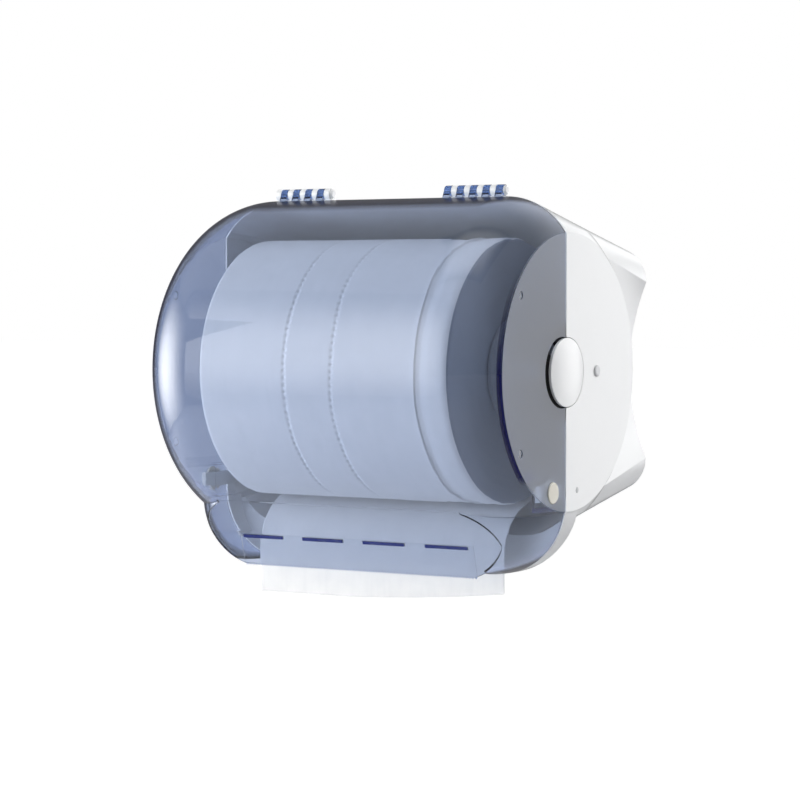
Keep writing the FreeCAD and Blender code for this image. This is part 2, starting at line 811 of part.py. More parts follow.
# the hub: a plug in the core, a flange against the roll and a journal in the bracket
hub_flange_in = "(%s + dims.hub_play)" % ROLL_END
hub_flange_out = "(%s + dims.hub_flange_thickness)" % hub_flange_in
hub_end = "(%s - dims.hub_inset)" % CHEEK
hub_plug_radius = "(dims.core_radius - dims.core_wall - 2 * dims.running_gap)"
right_hub = turned_body("right_hub", [
    (ROLL_END + " - dims.hub_plug_length", "dims.spindle_radius"),
    (hub_end, "dims.spindle_radius"),
    (hub_end, "dims.journal_radius"),
    (hub_flange_out, "dims.journal_radius"),
    (hub_flange_out, "dims.hub_flange_radius"),
    (hub_flange_in, "dims.hub_flange_radius"),
    (hub_flange_in, hub_plug_radius),
    (ROLL_END + " - dims.hub_plug_length", hub_plug_radius + " - dims.hub_lead_in"),
])
place(right_hub, "0", ROLL_Y)
keep(right_hub, "right_core_hub")
keep(mirrored("left_hub", right_hub), "left_core_hub")

# ---------------------------------------------------------------- end knobs

knob_in = "(%s - dims.knob_sink)" % CHEEK
knob_out = "(%s + dims.knob_proud)" % CHEEK
knob_blank = rod("knob_blank", "dims.knob_radius", knob_in, knob_out, ROLL_Y, "0")
dome_radius = "(dims.knob_radius * dims.knob_radius / (2 * dims.knob_proud) + dims.knob_proud / 2)"
knob_dome = doc.addObject("Part::Sphere", "knob_dome")
knob_dome.setExpression("Radius", dome_radius)
place(knob_dome, "%s - %s" % (knob_out, dome_radius), ROLL_Y)
knob_round = doc.addObject("Part::Common", "knob_round")
knob_round.Base = knob_blank
knob_round.Tool = knob_dome
knob_socket = rod("knob_socket", "dims.spindle_radius", knob_in + " - 1", spindle_end, ROLL_Y, "0")
right_knob = cut("right_knob_disc", knob_round, knob_socket)
keep(right_knob, "right_end_knob")
keep(mirrored("left_knob_disc", right_knob), "left_end_knob")

# ---------------------------------------------------------------- roll brackets

screw_y = "(-dims.roll_depth + dims.bracket_screw_reach)"
arm_half = "(dims.bracket_arm / 2)"
bracket_plate = joined("bracket_plate", [
    rod("bracket_disc", "dims.bracket_radius", BRACKET_IN, BRACKET_OUT, ROLL_Y, "0"),
    box("bracket_arm", (BRACKET_IN, ROLL_Y, "-" + arm_half), (BRACKET_OUT, screw_y, arm_half)),
    rod("bracket_end", arm_half, BRACKET_IN, BRACKET_OUT, screw_y, "0"),
])
seat = "(dims.journal_radius + dims.running_gap)"
entry = box("bracket_entry", (BRACKET_IN + " - 1", "0", "0"),
            (BRACKET_OUT + " + 1", "2 * " + seat, "2 * dims.bracket_radius"))
entry.Placement = FreeCAD.Placement(Vector(), FreeCAD.Rotation(AXIS_X, 45))
place(entry, BRACKET_IN + " - 1", "%s - %s * cos(45)" % (ROLL_Y, seat), "-%s * sin(45)" % seat)
bracket_openings = joined("bracket_openings", [
    rod("bracket_seat", seat, BRACKET_IN + " - 1", BRACKET_OUT + " + 1", ROLL_Y, "0"),
    entry,
    rod("bracket_screw_hole", "dims.bracket_screw_radius", BRACKET_IN + " - 1",
        BRACKET_OUT + " + 1", screw_y, "0"),
])
right_bracket = cut("right_bracket", bracket_plate, bracket_openings)
keep(right_bracket, "right_roll_bracket")
keep(mirrored("left_bracket", right_bracket), "left_roll_bracket")

# one screw per bracket: a low domed head outside the housing and a shank through both
screw_in = "(%s - dims.bracket_screw_tail)" % BRACKET_IN
screw_out = "(%s + dims.bracket_screw_rise)" % CHEEK
bracket_screw = turned_body("bracket_screw", [
    (screw_in, "0"),
    (screw_in, "dims.bracket_screw_radius"),
    (CHEEK, "dims.bracket_screw_radius"),
    (CHEEK, "dims.bracket_screw_head"),
    (screw_out + " - dims.bracket_screw_rise / 2", "dims.bracket_screw_head"),
    (screw_out, "dims.bracket_screw_head - dims.bracket_screw_rise"),
    (screw_out, "0"),
])
place(bracket_screw, "0", screw_y)
bracket_screws = doc.addObject("Part::Compound", "screw_pair")
bracket_screws.Links = [bracket_screw, mirrored("bracket_screw_twin", bracket_screw)]
keep(bracket_screws, "bracket_screws")

# ---------------------------------------------------------------- release buttons and latches

BUTTON_Y = "-dims.button_depth"
BUTTON_Z = "-dims.button_drop"
COVER_IN = "(dims.width / 2 - dims.cover_skin)"
flange_out = "(%s - dims.knuckle_play)" % COVER_IN
flange_in = "(%s - dims.button_flange_thickness)" % flange_out
button_out = "(%s + dims.button_proud)" % CHEEK
right_button = turned_body("right_button", [
    (flange_in, "0"),
    (flange_in, "dims.button_radius + dims.button_flange"),
    (flange_out, "dims.button_radius + dims.button_flange"),
    (flange_out, "dims.button_radius"),
    (button_out + " - dims.button_chamfer", "dims.button_radius"),
    (button_out, "dims.button_radius - dims.button_chamfer"),
    (button_out, "0"),
])
place(right_button, "0", BUTTON_Y, BUTTON_Z)
keep(right_button, "right_release_button")
keep(mirrored("left_button", right_button), "left_release_button")

# the tongue: a springy strip from the rivet to a hook in front of the cover's catch rib
tongue_out = "(%s - dims.hook_height - dims.latch_play)" % COVER_IN
tongue_in = "(%s - dims.tongue_thickness)" % tongue_out
tongue_low = "(%s - dims.tongue_width / 2)" % BUTTON_Z
tongue_high = "(%s + dims.tongue_width / 2)" % BUTTON_Z
hook_y = "(-dims.catch_reach - dims.latch_play)"
tongue_tip = "(%s - dims.hook_length)" % hook_y
tongue_root = "(-dims.rivet_depth + dims.tongue_tail)"
tongue_blank = joined("tongue_blank", [
    box("tongue_strip", (tongue_in, tongue_tip, tongue_low), (tongue_out, tongue_root, tongue_high)),
    box("tongue_hook", (tongue_out, tongue_tip, tongue_low),
        (COVER_IN + " - dims.hook_clearance", hook_y, tongue_high)),
    rod("tongue_foot", "dims.tongue_width / 2", tongue_out, BRACKET_OUT, "-dims.rivet_depth", BUTTON_Z),
])
tongue_hole = rod("tongue_hole", "dims.rivet_radius", tongue_in + " - 1", CHEEK,
                  "-dims.rivet_depth", BUTTON_Z)
right_tongue = cut("right_tongue", tongue_blank, tongue_hole)
keep(right_tongue, "right_latch_tongue")
keep(mirrored("left_tongue", right_tongue), "left_latch_tongue")

rivet_in = "(%s - dims.rivet_head)" % tongue_in
rivet_out = "(%s + dims.rivet_proud)" % CHEEK
rivet = turned_body("rivet", [
    (rivet_in, "0"),
    (rivet_in, "dims.rivet_radius + dims.rivet_head"),
    (tongue_in, "dims.rivet_radius + dims.rivet_head"),
    (tongue_in, "dims.rivet_radius"),
    (rivet_out + " - dims.rivet_chamfer / 2", "dims.rivet_radius"),
    (rivet_out, "dims.rivet_radius - dims.rivet_chamfer"),
    (rivet_out, "0"),
])
place(rivet, "0", "-dims.rivet_depth", BUTTON_Z)
rivets = doc.addObject("Part::Compound", "rivet_pair")
rivets.Links = [rivet, mirrored("rivet_twin", rivet)]
keep(rivets, "latch_rivets")

# the guide: a flange on the cheek, two webs and a back plate that keep the button in
guide_front = "(%s - dims.button_radius - dims.guide_front_margin)" % BUTTON_Y
guide_rear = "(-dims.seam_depth - dims.guide_rear_margin)"
guide_top = "(%s + dims.button_radius + dims.guide_over)" % BUTTON_Z
guide_low = "(%s - dims.button_radius - dims.guide_under)" % BUTTON_Z
guide_back = "(%s - dims.button_travel - dims.guide_behind)" % tongue_in
rail = "dims.rail_thickness"
right_guide = joined("right_guide", [
    box("guide_flange",
        (COVER_IN + " - " + rail, guide_front + " - dims.flange_reach",
         guide_top + " - dims.flange_under"),
        (COVER_IN, guide_rear, guide_top + " + dims.flange_over")),
    box("guide_top_web", (guide_back, guide_front, guide_top + " - " + rail),
        (COVER_IN + " - 1", guide_rear, guide_top)),
    box("guide_back_plate", ("%s - %s" % (guide_back, rail), guide_front, guide_low),
        (guide_back, guide_rear, guide_top)),
    box("guide_low_web", (guide_back, guide_front, guide_low),
        (guide_back + " + dims.guide_foot", guide_rear, "%s + %s" % (guide_low, rail))),
])
keep(right_guide, "right_button_guide")
keep(mirrored("left_guide", right_guide), "left_button_guide")

# ---------------------------------------------------------------- check and write

doc.recompute()
for thing in doc.Objects:
    if "Invalid" in thing.State or "Error" in thing.State:
        raise RuntimeError("%s did not recompute: %s" % (thing.Label, thing.State))
for feature in subparts:
    if feature.Shape.isNull() or not feature.Shape.isValid() or not feature.Shape.Solids:
        raise RuntimeError("%s has no valid solid" % feature.Label)

os.makedirs("parts", exist_ok=True)
for feature in subparts:
    feature.Shape.exportStep("parts/%s.step" % feature.Label)
    solids = len(feature.Shape.Solids)
    print("%-22s %2d solid(s) %9.0f mm3" % (feature.Label, solids, feature.Shape.Volume))
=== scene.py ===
"""Looks for a wall-mounted roll dispenser: smoked blue cover, white housing, paper roll and its tail.

Everything is in metres in the row frame: X along the roll, +Y into the wall, Z up.
"""

import math

import bpy
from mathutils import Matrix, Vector, noise


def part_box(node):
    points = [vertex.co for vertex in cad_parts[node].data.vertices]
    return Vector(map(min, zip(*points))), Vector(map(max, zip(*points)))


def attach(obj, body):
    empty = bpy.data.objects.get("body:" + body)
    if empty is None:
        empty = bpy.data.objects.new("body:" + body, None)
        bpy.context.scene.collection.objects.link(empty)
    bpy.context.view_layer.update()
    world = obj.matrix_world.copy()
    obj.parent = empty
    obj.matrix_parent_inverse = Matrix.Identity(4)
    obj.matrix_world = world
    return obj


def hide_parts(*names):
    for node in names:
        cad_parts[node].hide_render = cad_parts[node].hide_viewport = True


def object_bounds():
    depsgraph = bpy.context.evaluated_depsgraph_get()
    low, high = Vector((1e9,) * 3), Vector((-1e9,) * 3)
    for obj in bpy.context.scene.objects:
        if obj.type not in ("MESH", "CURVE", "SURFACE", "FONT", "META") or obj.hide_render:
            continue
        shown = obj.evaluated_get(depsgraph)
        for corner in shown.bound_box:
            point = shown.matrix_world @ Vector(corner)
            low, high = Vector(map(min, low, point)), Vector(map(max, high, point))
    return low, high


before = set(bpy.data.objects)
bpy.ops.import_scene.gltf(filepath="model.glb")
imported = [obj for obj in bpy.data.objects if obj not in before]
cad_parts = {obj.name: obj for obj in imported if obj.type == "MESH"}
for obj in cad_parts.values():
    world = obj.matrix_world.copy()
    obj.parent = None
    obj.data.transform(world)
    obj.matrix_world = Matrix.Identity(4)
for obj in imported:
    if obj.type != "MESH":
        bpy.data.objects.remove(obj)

CAD_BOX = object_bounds()
MM = 0.001
BEVEL_SAMPLES = 4                   # rays that find the rounded edges' normals


# ---------------------------------------------------------------- node and mesh helpers

def new_tree(name):
    """A new material with an empty node tree."""
    material = bpy.data.materials.new(name)
    material.use_nodes = True
    material.node_tree.nodes.clear()
    return material, material.node_tree


def add(tree, kind, settings=None, **sockets):
    """One shader node; a socket named in the call is set to a value or linked to another output."""
    node = tree.nodes.new("ShaderNode" + kind)
    for key, value in (settings or {}).items():
        setattr(node, key, value)
    for name, value in sockets.items():
        socket = node.inputs[name.replace("_", " ")]
        connect(tree, socket, value)
    return node


def connect(tree, socket, value):
    """Links an output to the socket, or sets the socket to a plain value."""
    if isinstance(value, bpy.types.NodeSocket):
        tree.links.new(value, socket)
    elif isinstance(value, tuple) and len(value) == 3 and socket.type == "RGBA":
        socket.default_value = (*value, 1.0)
    else:
        socket.default_value = value


def maths(tree, operation, first, second=0.0):
    """One arithmetic node; returns its output."""
    node = tree.nodes.new("ShaderNodeMath")
    node.operation = operation
    connect(tree, node.inputs[0], first)
    connect(tree, node.inputs[1], second)
    return node.outputs[0]


def remap(tree, value, from_low, from_high, to_low, to_high):
    """The value moved from one range to another, held at the ends."""
    node = add(tree, "MapRange", Value=value, From_Min=from_low, From_Max=from_high,
               To_Min=to_low, To_Max=to_high)
    return node.outputs["Result"]


def mix_colour(tree, share, first, second):
    """Two colours mixed by a share; returns the mixed colour."""
    node = tree.nodes.new("ShaderNodeMix")
    node.data_type = "RGBA"
    connect(tree, node.inputs[0], share)
    colours = [s for s in node.inputs if s.type == "RGBA"]
    connect(tree, colours[0], first)
    connect(tree, colours[1], second)
    return [s for s in node.outputs if s.type == "RGBA"][0]


def mix_shaders(tree, share, first, second):
    """Two shaders mixed by a share; returns the mixed shader."""
    node = tree.nodes.new("ShaderNodeMixShader")
    connect(tree, node.inputs[0], share)
    tree.links.new(first, node.inputs[1])
    tree.links.new(second, node.inputs[2])
    return node.outputs[0]


def place(tree, scale=(1.0, 1.0, 1.0)):
    """Positions on the piece in metres, stretched by scale, so that patterns move with the piece."""
    where = add(tree, "TexCoord").outputs["Object"]
    return add(tree, "Mapping", Vector=where, Scale=scale).outputs["Vector"]


def grain(tree, scale, detail=3.0, roughness=0.5, stretch=(1.0, 1.0, 1.0)):
    """Fractal noise of so many spots per metre; returns its 0 to 1 value."""
    return add(tree, "TexNoise", Vector=place(tree, stretch), Scale=scale, Detail=detail,
               Roughness=roughness).outputs["Fac"]


def beyond(tree, axis, limit, sign=1.0, blend=0.3 * MM):
    """1 where the place along one axis is past the limit (below it for sign -1), 0 before it."""
    along = add(tree, "SeparateXYZ", Vector=place(tree)).outputs[axis]
    past = maths(tree, "MULTIPLY", maths(tree, "SUBTRACT", along, limit), sign)
    return remap(tree, past, -blend, blend, 0.0, 1.0)


def past_both(tree, limit):
    """1 past the limit along X towards either end, 0 between them."""
    return maths(tree, "MAXIMUM", beyond(tree, "X", limit), beyond(tree, "X", -limit, -1.0))


def bump(tree, height, distance, strength=1.0, under=None):
    """A bump of so many metres on top of another normal."""
    node = add(tree, "Bump", Height=height, Distance=distance, Strength=strength)
    if under is not None:
        connect(tree, node.inputs["Normal"], under)
    return node.outputs["Normal"]


def rounded_normal(tree, radius):
    """The surface's normal as if its edges were rounded to a radius."""
    return add(tree, "Bevel", settings={"samples": BEVEL_SAMPLES}, Radius=radius).outputs["Normal"]


def seen_along(tree):
    """0 where the surface is seen face on, rising to 1 where it is seen along."""
    return add(tree, "LayerWeight", Blend=0.5).outputs["Facing"]


def edge_share(tree, radius):
    """0 on flat faces, up to 1 where the surface turns within a radius: where handling wears it."""
    flat = add(tree, "NewGeometry").outputs["Normal"]
    agree = tree.nodes.new("ShaderNodeVectorMath")
    agree.operation = "DOT_PRODUCT"
    connect(tree, agree.inputs[0], rounded_normal(tree, radius))
    connect(tree, agree.inputs[1], flat)
    return remap(tree, agree.outputs["Value"], 0.995, 0.75, 0.0, 1.0)


def finish_tree(tree, surface, volume=None):
    """Joins the surface, and a volume where there is one, to the material's output."""
    output = tree.nodes.new("ShaderNodeOutputMaterial")
    tree.links.new(surface, output.inputs["Surface"])
    if volume is not None:
        tree.links.new(volume, output.inputs["Volume"])


def wear(node_name, material):
    """Gives a carried-over CAD node its material."""
    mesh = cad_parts[node_name].data
    mesh.materials.clear()
    mesh.materials.append(material)


def draw_in(node_name, depth):
    """Pulls a carried-over part's skin in by a hair, so that it doesn't lie in its neighbour's plane."""
    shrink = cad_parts[node_name].modifiers.new("draw_in", "DISPLACE")
    shrink.strength = -depth
    shrink.mid_level = 0.0


def new_piece(name, points, faces, material, smooth=True):
    """A mesh object from points and faces, in the row frame."""
    mesh = bpy.data.meshes.new(name)
    mesh.from_pydata(points, [], faces)
    mesh.materials.append(material)
    mesh.polygons.foreach_set("use_smooth", [smooth] * len(mesh.polygons))
    mesh.update()
    piece = bpy.data.objects.new(name, mesh)
    bpy.context.scene.collection.objects.link(piece)
    return piece


def wander(seed, *where):
    """Smooth noise between about -1 and 1 at up to three coordinates; a seed shifts it elsewhere."""
    spot = list(where) + [0.0] * (3 - len(where))
    return noise.noise(Vector(spot) + Vector((17.3 * seed, 5.1 * seed, 9.7 * seed)))


# ---------------------------------------------------------------- plastics

def moulded(name, colour, roughness, texture_depth, wear_colour, coat=0.0, texture_scale=900.0,
            shine=0.5, patchiness=0.03, rim=1.0):
    """Opaque injection-moulded plastic: fine spark texture, slow waves, patchy gloss, worn edges.

    patchiness is how much darker the darker patches are; rim is how much of the colour is left
    where the surface is seen along, as painted shade that darkens the outline."""
    material, tree = new_tree(name)
    patches = grain(tree, 14.0, detail=4.0)
    fine = grain(tree, texture_scale, detail=2.0)
    waves = grain(tree, 9.0, detail=1.0)
    rubbed = edge_share(tree, 0.9 * MM)
    darker = tuple((1.0 - patchiness) * c for c in colour)
    body = mix_colour(tree, remap(tree, patches, 0.35, 0.7, 0.0, 1.0), darker, colour)
    worn = mix_colour(tree, maths(tree, "MULTIPLY", rubbed, 0.45), body, wear_colour)
    # painted shade: where the surface is seen along, the colour darkens to rim of itself, darkening the
    # outline
    if rim < 1.0:
        shaded = tuple(rim * c for c in colour)
        worn = mix_colour(tree, remap(tree, seen_along(tree), 0.84, 0.97, 0.0, 1.0), worn, shaded)
    gloss = remap(tree, patches, 0.3, 0.7, roughness * 0.94, roughness * 1.1)
    gloss = maths(tree, "ADD", gloss, maths(tree, "MULTIPLY", rubbed, 0.08))
    normal = bump(tree, waves, 0.12 * MM, 0.5, rounded_normal(tree, 0.5 * MM))
    normal = bump(tree, fine, texture_depth, 0.6, normal)
    shader = add(tree, "BsdfPrincipled", Base_Color=worn, Roughness=gloss, Normal=normal,
                 Coat_Weight=coat, Coat_Roughness=0.08, IOR=1.5, Specular_IOR_Level=shine)
    finish_tree(tree, shader.outputs["BSDF"])
    return material


WHITE = (0.86, 0.87, 0.88)
RUBBED_WHITE = (0.93, 0.93, 0.93)


def white_housing_plastic():
    """The housing's glossy white, with painted shade where it is seen along."""
    return moulded("white_abs", WHITE, roughness=0.30, texture_depth=0.02 * MM,
                   wear_colour=(0.92, 0.92, 0.92), coat=0.15, patchiness=0.015, rim=0.22)


def knob_plastic():
    """The same white for the end knobs, with more gloss."""
    return moulded("knob_white", WHITE, roughness=0.24, texture_depth=0.015 * MM,
                   wear_colour=RUBBED_WHITE, coat=0.3)


def pin_plastic():
    """White of the hinge pins."""
    return moulded("pin_white", WHITE, roughness=0.30, texture_depth=0.03 * MM,
                   wear_colour=RUBBED_WHITE)


def bracket_plastic():
    """Dull black with a coarser texture, grey where it is rubbed."""
    return moulded("bracket_black", (0.006, 0.006, 0.007), roughness=0.55, texture_depth=0.06 * MM,
                   wear_colour=(0.05, 0.05, 0.055), texture_scale=600.0, shine=0.15)


def button_plastic():
    """Slightly yellow white of the push buttons."""
    return moulded("button_ivory", (0.72, 0.69, 0.60), roughness=0.34, texture_depth=0.03 * MM,
                   wear_colour=(0.80, 0.78, 0.70))


def latch_plastic():
    """Off-white of the springy latch tongues."""
    return moulded("latch_acetal", (0.74, 0.75, 0.74), roughness=0.42, texture_depth=0.03 * MM,
                   wear_colour=(0.85, 0.85, 0.84))


def rivet_plastic():
    """Grey of the latch rivets."""
    return moulded("rivet_grey", (0.60, 0.61, 0.63), roughness=0.36, texture_depth=0.03 * MM,
                   wear_colour=(0.72, 0.72, 0.74))


def screw_plastic():
    """Paler grey of the bracket screws' caps."""
    return moulded("screw_cap_grey", (0.70, 0.71, 0.73), roughness=0.34, texture_depth=0.03 * MM,
                   wear_colour=(0.80, 0.80, 0.82))


def hub_plastic():
    """Middle grey of the core hubs."""
    return moulded("hub_grey", (0.40, 0.43, 0.48), roughness=0.50, texture_depth=0.05 * MM,
                   wear_colour=(0.55, 0.57, 0.60), shine=0.3)


# ---------------------------------------------------------------- see-through plastics

EDGE_SHADE_NAVY = (0.002, 0.003, 0.020)     # painted shade where a wall is seen along, for what a long way through the tinted plastic comes down to
FACE_TINT = (0.55, 0.605, 0.73)       # what one surface lets through seen face on
SLANT_TINT = (0.38, 0.46, 0.68)       # the same where it is seen at a slant
THICK_TINT = (0.15, 0.26, 0.56)       # the same on thick lumps such as the hinge knuckles
CREASE_SHADE_NAVY = (0.006, 0.006, 0.11)    # painted shade along the rounded crease between a shoulder and its cheek
TAB_NAVY = (0.010, 0.020, 0.15)       # the tear bar's tabs and the guide's thick ends
CLEAR_TINT = (0.96, 0.965, 0.98)      # what one surface of the clearer small parts lets through
SHADE = (0.97, 0.98, 0.99)            # what one surface leaves of the light for the parts inside
SLANT_RANGE = (0.45, 0.68)            # from face on to slanted, as seen_along gives it
GRAINED_HAZE = 0.30                   # roughness that fine graining adds
NEVER_DARK = (1.5, 2.0)               # an edge_range that seen_along can't reach


def smoked_clear(name, density, colour, roughness, wave_depth, edge_range=(0.70, 0.79), ior=1.49,
                 tints=(FACE_TINT, SLANT_TINT), thick_tint=THICK_TINT,
                 solid=None, solid_colour=EDGE_SHADE_NAVY, grained=None, thick=None):
    """Tinted see-through plastic: the tint builds up with the length of the way through it, so walls
    look pale face on; where they are seen along, which edge_range sets, they get painted shade, an opaque
    near-black navy for the tint built up over that long way. Light for the parts inside passes straight.

    tints are what one surface lets through seen face on and at a slant. solid(tree) may give a share
    of the surface that looks solid, grained(tree) a share that is finely grained and blurs what lies
    behind it, thick(tree) a share that has thick_tint."""
    material, tree = new_tree(name)
    waves = grain(tree, 11.0, detail=1.0)
    scuffs = grain(tree, 60.0, detail=6.0, roughness=0.7)
    hairlines = grain(tree, 420.0, detail=3.0, stretch=(1.0, 1.0, 0.12))
    haze = remap(tree, scuffs, 0.55, 0.75, roughness, roughness + 0.06)
    if grained is not None:
        haze = maths(tree, "ADD", haze, maths(tree, "MULTIPLY", grained(tree), GRAINED_HAZE))
    normal = bump(tree, waves, wave_depth, 0.6, rounded_normal(tree, 1.1 * MM))
    normal = bump(tree, hairlines, 0.006 * MM, 0.4, normal)
    grazing = seen_along(tree)
    slant = remap(tree, grazing, *SLANT_RANGE, 0.0, 1.0)
    through = mix_colour(tree, slant, tints[0], tints[1])
    if thick is not None:
        through = mix_colour(tree, thick(tree), through, thick_tint)
    glass = add(tree, "BsdfPrincipled", Base_Color=through, Roughness=haze, IOR=ior,
                Transmission_Weight=1.0, Normal=normal, Specular_IOR_Level=0.5)
    # painted shade: the opaque navy edge shader takes over where the wall is seen along
    dark = remap(tree, grazing, *edge_range, 0.0, 0.97)
    edge_colour = EDGE_SHADE_NAVY
    if solid is not None:
        share = solid(tree)
        edge_colour = mix_colour(tree, share, EDGE_SHADE_NAVY, solid_colour)
        dark = maths(tree, "MAXIMUM", dark, share)
    edge = add(tree, "BsdfPrincipled", Base_Color=edge_colour, Roughness=0.25, Specular_IOR_Level=0.12)
    body = mix_shaders(tree, dark, glass.outputs[0], edge.outputs[0])
    straight = add(tree, "BsdfTransparent", Color=SHADE)
    path = add(tree, "LightPath").outputs
    lets_light = maths(tree, "MAXIMUM", path["Is Shadow Ray"], path["Is Diffuse Ray"])
    surface = mix_shaders(tree, lets_light, body, straight.outputs[0])
    tint = add(tree, "VolumeAbsorption", Color=colour, Density=density)
    finish_tree(tree, surface, tint.outputs["Volume"])
    return material


DRUM_AXIS_Y = -166 * MM             # the drum's own axis, a little behind the roll's
CHEEK_SKIN = 0.4 * MM               # how far in from the cover's widest point still counts as cheek
# where the painted shade along each cheek's crease lies
CREASE_RADIUS = 129 * MM            # of the round crease between shoulder and cheek
CREASE_WIDTH = 2.6 * MM             # on the shoulder's side of it
CREASE_SIDE = 5.5 * MM              # how far in from the cover's widest point the crease reaches
CREASE_FADE = (0.0, 95.0 * MM)      # heights: full from the first down, nothing above the second
CREASE_FOOT = (-100.0 * MM, -92.0 * MM)     # heights between which it ends at the button guide
KNUCKLE_DROP = 9.5 * MM             # from the hinge's top to where the knuckles meet the drum


def on_cheeks(tree):
    """1 on the cover's two flat cheeks, 0 elsewhere."""
    _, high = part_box("front_cover")
    return past_both(tree, high.x - CHEEK_SKIN)


def crease_shade(tree):
    """Painted shade along the rounded crease of each cheek, dark from its middle down to the button
    guide.
    """
    _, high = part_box("front_cover")
    spot = add(tree, "SeparateXYZ", Vector=place(tree)).outputs
    forward = maths(tree, "SUBTRACT", spot["Y"], DRUM_AXIS_Y)
    squares = maths(tree, "ADD", maths(tree, "MULTIPLY", forward, forward),
                    maths(tree, "MULTIPLY", spot["Z"], spot["Z"]))
    middle = CREASE_RADIUS + 0.5 * CREASE_WIDTH
    off_line = maths(tree, "ABSOLUTE", maths(tree, "SUBTRACT", maths(tree, "SQRT", squares), middle))
    line = remap(tree, off_line, 0.35 * CREASE_WIDTH, 0.6 * CREASE_WIDTH, 1.0, 0.0)
    lower = remap(tree, spot["Z"], *CREASE_FADE, 1.0, 0.0)
    lower = maths(tree, "MULTIPLY", lower, remap(tree, spot["Z"], *CREASE_FOOT, 0.0, 1.0))
    side = maths(tree, "ABSOLUTE", spot["X"])
    from_side = high.x - CREASE_SIDE
    near_cheek = remap(tree, side, from_side - 0.5 * MM, from_side + 0.5 * MM, 0.0, 1.0)
    share = maths(tree, "MULTIPLY", maths(tree, "MULTIPLY", line, lower), near_cheek)
    return maths(tree, "MULTIPLY", share, 0.9)


def on_knuckles(tree):
    """1 on the cover's hinge knuckles, above the drum."""
    _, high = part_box("rear_housing")
    return beyond(tree, "Z", high.z - KNUCKLE_DROP)


def cover_plastic():
    """The cover: finely grained cheeks, painted shade along the crease of each, and deeper tinted
    knuckles.
    """
    return smoked_clear("cover_smoked_blue", density=45.0, colour=(0.13, 0.29, 0.56), roughness=0.02,
                        wave_depth=0.22 * MM, solid=crease_shade, solid_colour=CREASE_SHADE_NAVY,
                        grained=on_cheeks, thick=on_knuckles)


TAB_DEPTH = 2.2 * MM                # how much of the tear bar's tabs, from the front, looks solid
GUIDE_BAR = 4.0 * MM                # height of the bar along a button guide's bottom
GUIDE_BLOCK = 9.0 * MM              # depth of the block at its front


def tear_bar_plastic():
    """Clear, but its tabs, in front of the strip, look solid and its teeth, below the lip, are tinted."""
    low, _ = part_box("tear_bar")
    cover_low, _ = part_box("front_cover")

    def tabs(tree):
        return maths(tree, "MULTIPLY", beyond(tree, "Y", low.y + TAB_DEPTH, -1.0), 0.95)

    def teeth(tree):
        return beyond(tree, "Z", cover_low.z + 0.3 * MM, -1.0)

    return smoked_clear("tear_bar_blue", density=8.0, colour=(0.20, 0.36, 0.62), roughness=0.06,
                        wave_depth=0.05 * MM, edge_range=(0.90, 0.99), ior=1.12,
                        tints=(CLEAR_TINT, CLEAR_TINT), solid=tabs, solid_colour=TAB_NAVY,
                        thick=teeth, thick_tint=SLANT_TINT)


def guide_plastic(name, ior, solid=None):
    """Clear plastic of a button guide, without the dark look where it is seen along."""
    return smoked_clear(name, density=6.0, colour=(0.20, 0.30, 0.60), roughness=0.10,
                        wave_depth=0.05 * MM, edge_range=NEVER_DARK, ior=ior,
                        tints=(CLEAR_TINT, CLEAR_TINT), solid=solid, solid_colour=TAB_NAVY)


def right_guide_plastic():
    """Clear, but its low bar and its front block look solid."""
    low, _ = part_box("right_button_guide")

    def block(tree):
        low_bar = beyond(tree, "Z", low.z + GUIDE_BAR, -1.0)
        front = beyond(tree, "Y", low.y + GUIDE_BLOCK, -1.0)
        return maths(tree, "MULTIPLY", maths(tree, "MAXIMUM", low_bar, front), 0.85)

    return guide_plastic("right_guide_blue", 1.12, block)


def left_guide_plastic():
    """Clear all over."""
    return guide_plastic("left_guide_blue", 1.05)


# ---------------------------------------------------------------- steel, board and paper

def spindle_steel():
    """Drawn steel rod: fine scratches along its length, small dull spots."""
    material, tree = new_tree("spindle_steel")
    lines = grain(tree, 900.0, detail=3.0, stretch=(0.03, 1.0, 1.0))
    spots = grain(tree, 120.0, detail=4.0)
    dull = remap(tree, spots, 0.5, 0.75, 0.0, 1.0)
    colour = mix_colour(tree, dull, (0.56, 0.57, 0.58), (0.34, 0.33, 0.32))
    gloss = remap(tree, lines, 0.3, 0.7, 0.22, 0.42)
    normal = bump(tree, lines, 0.02 * MM, 0.5)
    shader = add(tree, "BsdfPrincipled", Base_Color=colour, Metallic=1.0, Roughness=gloss, Normal=normal)
    finish_tree(tree, shader.outputs["BSDF"])
    return material


def core_board():
    """Spiral-wound grey-brown board: winding seams and flecks of fibre."""
    material, tree = new_tree("core_board")
    fibres = grain(tree, 700.0, detail=4.0, stretch=(0.3, 1.0, 1.0))
    patches = grain(tree, 40.0, detail=3.0)
    seams = add(tree, "TexWave", settings={"bands_direction": "DIAGONAL"}, Vector=place(tree),
                Scale=14.0, Distortion=0.0).outputs["Fac"]
    colour = mix_colour(tree, patches, (0.36, 0.28, 0.20), (0.47, 0.38, 0.28))
    colour = mix_colour(tree, remap(tree, fibres, 0.6, 0.8, 0.0, 0.5), colour, (0.62, 0.54, 0.43))
    colour = mix_colour(tree, remap(tree, seams, 0.02, 0.0, 0.0, 0.6), colour, (0.20, 0.15, 0.10))
    normal = bump(tree, fibres, 0.08 * MM, 0.7)
    shader = add(tree, "BsdfPrincipled", Base_Color=colour, Roughness=0.85, Normal=normal)
    finish_tree(tree, shader.outputs["BSDF"])
    return material


WHITE_PAPER = ((0.90, 0.905, 0.91), (0.95, 0.95, 0.95))     # thinner and denser clouds of fibre
CREPE_SHADE = (0.78, 0.79, 0.81)      # in the crepe's valleys
ROLL_END_SHADE = (0.34, 0.37, 0.43)    # painted shade on the roll's end faces, which lie in shade inside the cover; partly the greyer look of layers seen edge on
